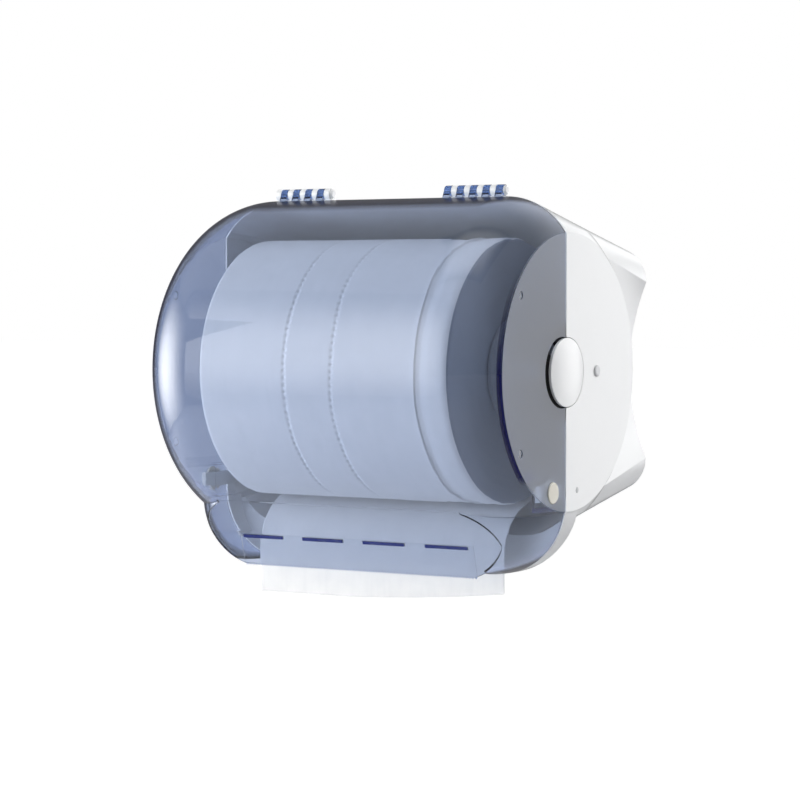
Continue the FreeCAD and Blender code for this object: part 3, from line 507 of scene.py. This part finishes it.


def soft_paper(name, see_through, end_shade_from=None):
    """White wiping paper: cloudy formation, fine crepe across the web, small embossed cells.

    Past the half length of a wound roll's face its layers are seen edge on; there the colour is darkened,
    partly for the greyer look of edge-on layers, mostly as painted shade."""
    material, tree = new_tree(name)
    clouds = grain(tree, 55.0, detail=5.0, roughness=0.6)
    crepe = grain(tree, 900.0, detail=3.0, stretch=(0.25, 1.0, 1.0))
    lines = grain(tree, 260.0, detail=2.0, stretch=(1.0, 0.05, 0.05))
    streaks = grain(tree, 420.0, detail=3.0, stretch=(0.03, 1.0, 1.0))
    cells = add(tree, "TexVoronoi", settings={"feature": "SMOOTH_F1"}, Vector=place(tree),
                Scale=380.0).outputs["Distance"]
    colour = mix_colour(tree, remap(tree, clouds, 0.3, 0.7, 0.0, 1.0), *WHITE_PAPER)
    colour = mix_colour(tree, remap(tree, lines, 0.45, 0.75, 0.0, 0.2), colour, CREPE_SHADE)
    if end_shade_from is not None:
        # painted shade on the roll's end faces
        colour = mix_colour(tree, past_both(tree, end_shade_from), colour, ROLL_END_SHADE)
    normal = bump(tree, lines, 0.12 * MM, 0.5)
    normal = bump(tree, streaks, 0.10 * MM, 0.6, normal)
    normal = bump(tree, cells, 0.03 * MM, 0.4, normal)
    normal = bump(tree, crepe, 0.05 * MM, 0.6, normal)
    face = add(tree, "BsdfPrincipled", Base_Color=colour, Roughness=0.9, Normal=normal,
               Sheen_Weight=0.15, Sheen_Roughness=0.6, Specular_IOR_Level=0.2)
    through = add(tree, "BsdfTranslucent", Color=colour, Normal=normal)
    finish_tree(tree, mix_shaders(tree, see_through, face.outputs[0], through.outputs[0]))
    return material


# ---------------------------------------------------------------- the paper roll

ROLL_STEPS = 720                    # sides of the roll's outline
ROLL_SPANS = 60                     # even spans along it
LINE_STEPS, LINE_SPACING = 10, 0.6 * MM     # closer spans on each side of a glue line or ply edge
LINE_CLEARANCE = 9 * MM             # where the even spans stop short of it
LINE_WANDER = 2.2 * MM              # how far a line strays from its circle
SWELL, SWELLS_PER_METRE = 0.35 * MM, 14     # slow unevenness of the outside
RIPPLE, RIPPLES_PER_METRE = 0.08 * MM, 260  # fine unevenness on top of it
EMBOSS_PITCH = 6.6 * MM             # between the dots of a gluing line
EMBOSS_DEPTH = 1.5 * MM             # how deep they are pressed in
EMBOSS_WIDTH = 1.8 * MM
GLUE_LINES = (97 * MM, 148 * MM)    # from the roll's left end to each line of glue dots
LOOSE_PLY_WIDTH = 35 * MM           # how far the outer ply stops short of the right end
LOOSE_PLY_STEP = 1.2 * MM
LOOSE_PLY_LIFT, LIFT_REACH = 0.4 * MM, 1.5 * MM     # its edge curls up
END_RINGS = 26                      # rings of edge-on paper on each end face
EDGE_DROP = 2.5 * MM                # how far the outer layers slump at each end
EDGE_REACH = 1.6 * MM
LAYER_SCATTER = 0.5 * MM            # how far single layers stand in or out on an end face
RIM_WAVE = 0.7 * MM
END_MARGIN = 0.8 * MM               # kept free inside the roll's box for what stands out at its ends
FACE_MARGIN = 0.6 * MM              # the same around its outside
BORE_GAP = 0.1 * MM                 # between the roll's bore and the core


def roll_stations(half_length):
    """(middle, line number, offset) along the roll: even, and closer together along each line."""
    lines = [-half_length + reach for reach in GLUE_LINES] + [half_length - LOOSE_PLY_WIDTH]
    evenly = [-half_length + 2 * half_length * i / ROLL_SPANS for i in range(1, ROLL_SPANS)]
    stations = [(x, None, 0.0) for x in evenly if min(abs(x - line) for line in lines) > LINE_CLEARANCE]
    for number, line in enumerate(lines):
        stations += [(line, number, LINE_SPACING * i) for i in range(-LINE_STEPS, LINE_STEPS + 1)]
    return sorted(stations, key=lambda station: station[0] + station[2])


def face_point(station, angle, radius):
    """(x, radius) on the roll's outside: slow swells, ripples, glue dots and the loose ply's step."""
    middle, line, offset = station
    c, s = math.cos(angle), math.sin(angle)
    x = middle + offset
    swell = SWELL * wander(1, x * SWELLS_PER_METRE, c * 2.2, s * 2.2)
    swell += RIPPLE * wander(2, x * RIPPLES_PER_METRE, c, s)
    if line is None:
        return x, radius + swell
    x += LINE_WANDER * wander(3 + line, c * 2, s * 2)
    if line < len(GLUE_LINES):
        groove = math.exp(-(offset / EMBOSS_WIDTH) ** 2)
        dots = max(0.0, math.cos(2 * math.pi * angle * radius / EMBOSS_PITCH))
        return x, radius + swell - EMBOSS_DEPTH * groove * (0.25 + 0.75 * dots)
    if offset > 0:
        return x, radius + swell - LOOSE_PLY_STEP
    return x, radius + swell + LOOSE_PLY_LIFT * math.exp(offset / LIFT_REACH)


def end_rings(side, half_length, radius, core_radius):
    """(x, radius) rings of one end face from the bore out to where the outside begins."""
    if side > 0:
        radius -= LOOSE_PLY_STEP
    flat = radius - EDGE_DROP
    rings = [(side * half_length, core_radius + (flat - core_radius) * i / END_RINGS)
             for i in range(END_RINGS + 1)]
    for turn in (25, 50, 75):
        a = math.radians(turn)
        x = side * (half_length - EDGE_REACH * (1 - math.cos(a)))
        rings.append((x, flat + EDGE_DROP * math.sin(a)))
    return rings


def end_point(side, ring, angle, radius):
    """(x, radius) on an end face: each layer stands a little in or out, and the rim waves."""
    x, ring_radius = ring
    c, s = math.cos(angle), math.sin(angle)
    out = LAYER_SCATTER * wander(8 + side, ring_radius * 300, c * 1.2, s * 1.2)
    out += RIM_WAVE * (ring_radius / radius) ** 3 * wander(11 + side, c * 3.5, s * 3.5)
    return x + out, ring_radius


def paper_roll():
    """The wound roll: edge-on layers at its ends, a loose outer ply, two wavering lines of glue dots."""
    low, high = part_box("web_roll")
    core_low, core_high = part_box("roll_core")
    middle = (low + high) / 2
    half_length = (high.x - low.x) / 2 - END_MARGIN
    radius = (high.z - low.z) / 2 - FACE_MARGIN
    core_radius = (core_high.z - core_low.z) / 2 + BORE_GAP
    angles = [2 * math.pi * step / ROLL_STEPS for step in range(ROLL_STEPS)]
    loops = [[end_point(-1, ring, a, radius) for a in angles]
             for ring in end_rings(-1, half_length, radius, core_radius)]
    loops += [[face_point(station, a, radius) for a in angles]
              for station in roll_stations(half_length)]
    loops += [[end_point(1, ring, a, radius) for a in angles]
              for ring in reversed(end_rings(1, half_length, radius, core_radius))]
    points = [(middle.x + x, middle.y + r * math.cos(a), middle.z + r * math.sin(a))
              for loop in loops for a, (x, r) in zip(angles, loop)]
    faces = []
    for ring in range(len(loops)):
        here, there = ring * ROLL_STEPS, (ring + 1) % len(loops) * ROLL_STEPS
        for step in range(ROLL_STEPS):
            beside = (step + 1) % ROLL_STEPS
            faces.append((here + step, here + beside, there + beside, there + step))
    paper = soft_paper("roll_paper", 0.0, half_length - EDGE_REACH)
    piece = new_piece("paper_roll", points, faces, paper)
    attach(piece, "roll")
    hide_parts("web_roll")


# ---------------------------------------------------------------- the hanging tail

TAIL_THICKNESS = 0.35 * MM
TAIL_LEAVE = math.radians(20)       # where the sheet leaves the roll, behind its lowest line
TAIL_SLACK = 50 * MM                # bend that turns the sheet down into the mouth
TAIL_OFF_ROLL = 0.5 * MM            # its gap to the roll where it leaves
TAIL_OVERLAP = 0.4 * MM             # how much wider it is, on each side, than its box
TAIL_COLUMNS = 240
TAIL_RUN_ROWS, TAIL_BEND_ROWS, TAIL_HANG_ROWS = 10, 20, 44
CREASE_DEPTH = 0.9 * MM             # of the soft upright folds at the free end
SEE_THROUGH = 0.35                  # share of the light that goes through the single sheet
TOOTH_PITCH = 3.4 * MM              # of the tear bar that cut its end
TOOTH_MARK = 0.35 * MM              # how deep the teeth mark the end
RAGGED = 0.5 * MM                   # how far the torn end wanders besides
END_LIFT = 1.2 * MM                 # of the end's middle above the tail's box
END_BOW, END_LEAN = 4.5 * MM, 6.5 * MM      # how much its ends rise, and one more than the other


def tail_route():
    """(y, z) points of the sheet's middle from the roll's underside down to the end of the bend."""
    low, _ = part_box("web_tail")
    roll_low, roll_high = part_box("web_roll")
    away = (roll_high.z - roll_low.z) / 2 + TAIL_OFF_ROLL
    y = (roll_low.y + roll_high.y) / 2 + away * math.sin(TAIL_LEAVE)
    z = (roll_low.z + roll_high.z) / 2 - away * math.cos(TAIL_LEAVE)
    hang_y = low.y + CREASE_DEPTH
    run = (y - hang_y - TAIL_SLACK * (1 - math.sin(TAIL_LEAVE))) / math.cos(TAIL_LEAVE)
    route = []
    for row in range(TAIL_RUN_ROWS):
        along = run * row / TAIL_RUN_ROWS
        route.append((y - along * math.cos(TAIL_LEAVE), z - along * math.sin(TAIL_LEAVE)))
    centre_y = y - run * math.cos(TAIL_LEAVE) + TAIL_SLACK * math.sin(TAIL_LEAVE)
    centre_z = z - run * math.sin(TAIL_LEAVE) - TAIL_SLACK * math.cos(TAIL_LEAVE)
    for row in range(TAIL_BEND_ROWS + 1):
        turn = TAIL_LEAVE + (math.pi / 2 - TAIL_LEAVE) * row / TAIL_BEND_ROWS
        route.append((centre_y - TAIL_SLACK * math.sin(turn), centre_z + TAIL_SLACK * math.cos(turn)))
    return route


def crease(x, depth):
    """Soft upright folds, sharper towards the free end."""
    fold = 0.6 * wander(21, x * 24, depth * 0.6) + 0.4 * wander(22, x * 70, depth * 1.2)
    return CREASE_DEPTH * fold * depth


def paper_tail():
    """The loose end: off the roll, round the slack bend and out of the mouth, torn a little askew."""
    low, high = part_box("web_tail")
    route = tail_route()
    half = (high.x - low.x) / 2 + TAIL_OVERLAP
    bend_y, bend_z = route[-1]
    rows = len(route) + TAIL_HANG_ROWS
    points = []
    for column in range(TAIL_COLUMNS + 1):
        across = 2 * column / TAIL_COLUMNS - 1
        x = half * across
        torn = TOOTH_MARK * math.cos(2 * math.pi * x / TOOTH_PITCH) + RAGGED * wander(23, x * 60)
        end_z = low.z + END_LIFT + END_BOW * across ** 2 + END_LEAN * across + torn
        end_z = max(end_z, low.z)
        for row, (y, z) in enumerate(route):
            depth = row / rows
            points.append((x, y + crease(x, depth), z))
        for row in range(1, TAIL_HANG_ROWS + 1):
            depth = (len(route) + row) / rows
            z = bend_z + (end_z - bend_z) * row / TAIL_HANG_ROWS
            points.append((x, bend_y + crease(x, depth), z))
    faces = []
    for column in range(TAIL_COLUMNS):
        here, there = column * rows, (column + 1) * rows
        for row in range(rows - 1):
            faces.append((here + row, there + row, there + row + 1, here + row + 1))
    piece = new_piece("paper_tail", points, faces, soft_paper("tail_paper", SEE_THROUGH))
    thicken = piece.modifiers.new("sheet", "SOLIDIFY")
    thicken.thickness = TAIL_THICKNESS
    thicken.offset = 0.0
    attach(piece, "housing")
    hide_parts("web_tail")


# ---------------------------------------------------------------- finishes of the carried-over parts

GUIDE_GAP = 0.06 * MM               # between the clear button guides and the cover they are fixed to


def finish_cad_parts():
    """Each CAD node's material; the clear button guides are drawn in by a hair as well."""
    draw_in("right_button_guide", GUIDE_GAP)
    draw_in("left_button_guide", GUIDE_GAP)
    wear("front_cover", cover_plastic())
    wear("rear_housing", white_housing_plastic())
    wear("tear_bar", tear_bar_plastic())
    wear("latch_rivets", rivet_plastic())
    wear("bracket_screws", screw_plastic())
    wear("spindle", spindle_steel())
    wear("right_button_guide", right_guide_plastic())
    wear("left_button_guide", left_guide_plastic())
    wear("roll_core", core_board())
    pairs = {
        "_release_button": button_plastic(),
        "_end_knob": knob_plastic(),
        "_roll_bracket": bracket_plastic(),
        "_latch_tongue": latch_plastic(),
        "_core_hub": hub_plastic(),
        "_hinge_pin": pin_plastic(),
    }
    for ending, material in pairs.items():
        for side in ("left", "right"):
            wear(side + ending, material)


# ---------------------------------------------------------------- studio

FLOOR_DROP = 0.45                   # floor below the hanging object
FLOOR_REACH = 30.0                  # from its middle to each side
FLOOR_GLOW = 0.75                   # its brightness where it is seen


def way_out(azimuth, elevation):
    """Unit vector from the object; in degrees, azimuth 0 is in front of it and 90 to the right."""
    turn, rise = math.radians(azimuth), math.radians(elevation)
    return Vector((math.sin(turn) * math.cos(rise), -math.cos(turn) * math.cos(rise), math.sin(rise)))


def floor():
    """A wide pale floor that glows only where it is seen, also through the cover, so it doesn't light
    the object from below."""
    low, _ = CAD_BOX
    material, tree = new_tree("floor_pale")
    speckle = grain(tree, 30.0, detail=4.0)
    colour = mix_colour(tree, speckle, (0.50, 0.50, 0.51), (0.54, 0.54, 0.55))
    matte = add(tree, "BsdfDiffuse", Color=colour)
    path = add(tree, "LightPath").outputs
    seen = maths(tree, "MAXIMUM", path["Is Camera Ray"], path["Is Transmission Ray"])
    strength = maths(tree, "MULTIPLY", seen, FLOOR_GLOW)
    glow = add(tree, "Emission", Color=(1.0, 1.0, 1.0), Strength=strength)
    both = add(tree, "AddShader")
    tree.links.new(matte.outputs[0], both.inputs[0])
    tree.links.new(glow.outputs[0], both.inputs[1])
    finish_tree(tree, both.outputs[0])
    reach = FLOOR_REACH
    z = low.z - FLOOR_DROP
    corners = [(-reach, -reach, z), (reach, -reach, z), (reach, reach, z), (-reach, reach, z)]
    new_piece("floor", corners, [(0, 1, 2, 3)], material, smooth=False)


def white_room():
    """A white surround for the camera and through clear plastic. For everything else it is bright
    behind the object, like an overexposed backdrop, fair overhead and dim to the sides and below."""
    world = bpy.data.worlds.new("room")
    bpy.context.scene.world = world
    world.use_nodes = True
    tree = world.node_tree
    tree.nodes.clear()
    path = add(tree, "LightPath").outputs
    towards = add(tree, "SeparateXYZ", Vector=add(tree, "TexCoord").outputs["Generated"]).outputs
    overhead = remap(tree, towards["Z"], -0.2, 0.95, 0.05, 0.55)
    backdrop = remap(tree, towards["Y"], 0.55, 0.80, 0.0, 1.0)
    backdrop = maths(tree, "MULTIPLY", backdrop, remap(tree, towards["X"], -0.45, -0.10, 0.0, 1.0))
    backdrop = maths(tree, "MULTIPLY", backdrop, remap(tree, towards["Z"], -0.45, -0.05, 0.15, 1.0))
    level = maths(tree, "ADD", overhead, backdrop)
    seen = maths(tree, "MAXIMUM", path["Is Camera Ray"], path["Is Transmission Ray"])
    strength = add(tree, "Mix", Factor=seen, A=level, B=1.0).outputs["Result"]
    background = add(tree, "Background", Color=(1.0, 1.0, 1.0), Strength=strength)
    output = tree.nodes.new("ShaderNodeOutputWorld")
    tree.links.new(background.outputs[0], output.inputs["Surface"])


def falling(tree, value, start):
    """1 up to the start, then a smooth fall to 0 at 1."""
    node = add(tree, "MapRange", settings={"interpolation_type": "SMOOTHSTEP"}, Value=value,
               From_Min=start, From_Max=1.0, To_Min=1.0, To_Max=0.0)
    return node.outputs["Result"]


def softbox(name, place_from, size, strength, fade=0.25, mirrored=True, lighting=True):
    """A glowing panel that faces the object and fades towards its rim; cameras don't see it.

    place_from is (azimuth, elevation, distance) from the object, and fade the share of the way from
    rim to middle over which the glow grows. mirrored says whether it shows in reflections, lighting
    whether it lights matt surfaces."""
    azimuth, elevation, distance = place_from
    out = way_out(azimuth, elevation)
    low, high = CAD_BOX
    width, height = size
    material, tree = new_tree(name)
    where = add(tree, "SeparateXYZ", Vector=add(tree, "TexCoord").outputs["Object"]).outputs
    across = maths(tree, "ABSOLUTE", maths(tree, "DIVIDE", where["X"], width / 2))
    upright = maths(tree, "ABSOLUTE", maths(tree, "DIVIDE", where["Y"], height / 2))
    start = 1.0 - fade
    inside = maths(tree, "MULTIPLY", falling(tree, across, start), falling(tree, upright, start))
    glow = maths(tree, "MULTIPLY", inside, strength)
    finish_tree(tree, add(tree, "Emission", Color=(1.0, 1.0, 1.0), Strength=glow).outputs[0])
    corners = [(-width / 2, -height / 2, 0), (width / 2, -height / 2, 0),
               (width / 2, height / 2, 0), (-width / 2, height / 2, 0)]
    panel = new_piece(name, corners, [(0, 1, 2, 3)], material, smooth=False)
    panel.location = (low + high) / 2 + out * distance
    panel.rotation_mode = "QUATERNION"
    panel.rotation_quaternion = out.to_track_quat("Z", "Y")
    panel.visible_camera = False
    panel.visible_glossy = mirrored
    panel.visible_diffuse = lighting
    panel.visible_transmission = False


def studio_lights():
    """Soft panels: a large one in front, one at the left that shows as the shoulder's highlight, one
    overhead, one behind at the right that brightens the white side without showing in the cheek, a
    weak low one for the hanging end, a narrow one for the cheek's crease, and one that only shows as
    the cheek's reflection."""
    softbox("panel_front", (-22, 12, 2.6), (3.4, 3.4), 3.8, fade=0.9)
    softbox("panel_left", (-68, 0, 1.7), (2.0, 1.9), 11.0, fade=0.97)
    softbox("panel_top", (10, 80, 2.0), (2.0, 1.6), 1.5, fade=0.5)
    softbox("panel_right", (138, 34, 2.4), (2.4, 2.2), 5.3, fade=0.3, mirrored=False)
    softbox("panel_low", (-5, -22, 2.4), (2.2, 1.2), 1.6, fade=0.5, mirrored=False)
    softbox("panel_rim", (118, 25, 2.4), (0.5, 1.2), 2.0, fade=0.6)
    softbox("panel_cheek", (148.5, 2, 2.4), (2.0, 2.4), 2.6, fade=0.8, lighting=False)


CAMERA_AZIMUTH, CAMERA_ELEVATION = 31.5, 2.3
CAMERA_DISTANCE = 2.549
CAMERA_LENS, CAMERA_SENSOR = 119.25, 36.0   # in millimetres, as Blender wants them
CAMERA_AIM = Vector((6.4 * MM, 0.0, -7.4 * MM))     # from the middle of the object's box


def camera():
    """Stands to the right of the front, a little above, on a long lens."""
    low, high = CAD_BOX
    aim = (low + high) / 2 + CAMERA_AIM
    back = way_out(CAMERA_AZIMUTH, CAMERA_ELEVATION)
    lens = bpy.data.cameras.new("camera")
    lens.lens = CAMERA_LENS
    lens.sensor_width = CAMERA_SENSOR
    viewer = bpy.data.objects.new("camera", lens)
    viewer.location = aim + back * CAMERA_DISTANCE
    viewer.rotation_mode = "QUATERNION"
    viewer.rotation_quaternion = (-back).to_track_quat("-Z", "Y")
    bpy.context.scene.collection.objects.link(viewer)
    bpy.context.scene.camera = viewer


finish_cad_parts()
paper_roll()
paper_tail()
floor()
white_room()
studio_lights()
camera()
bpy.context.scene.view_settings.view_transform = "Standard"
bpy.context.view_layer.update()
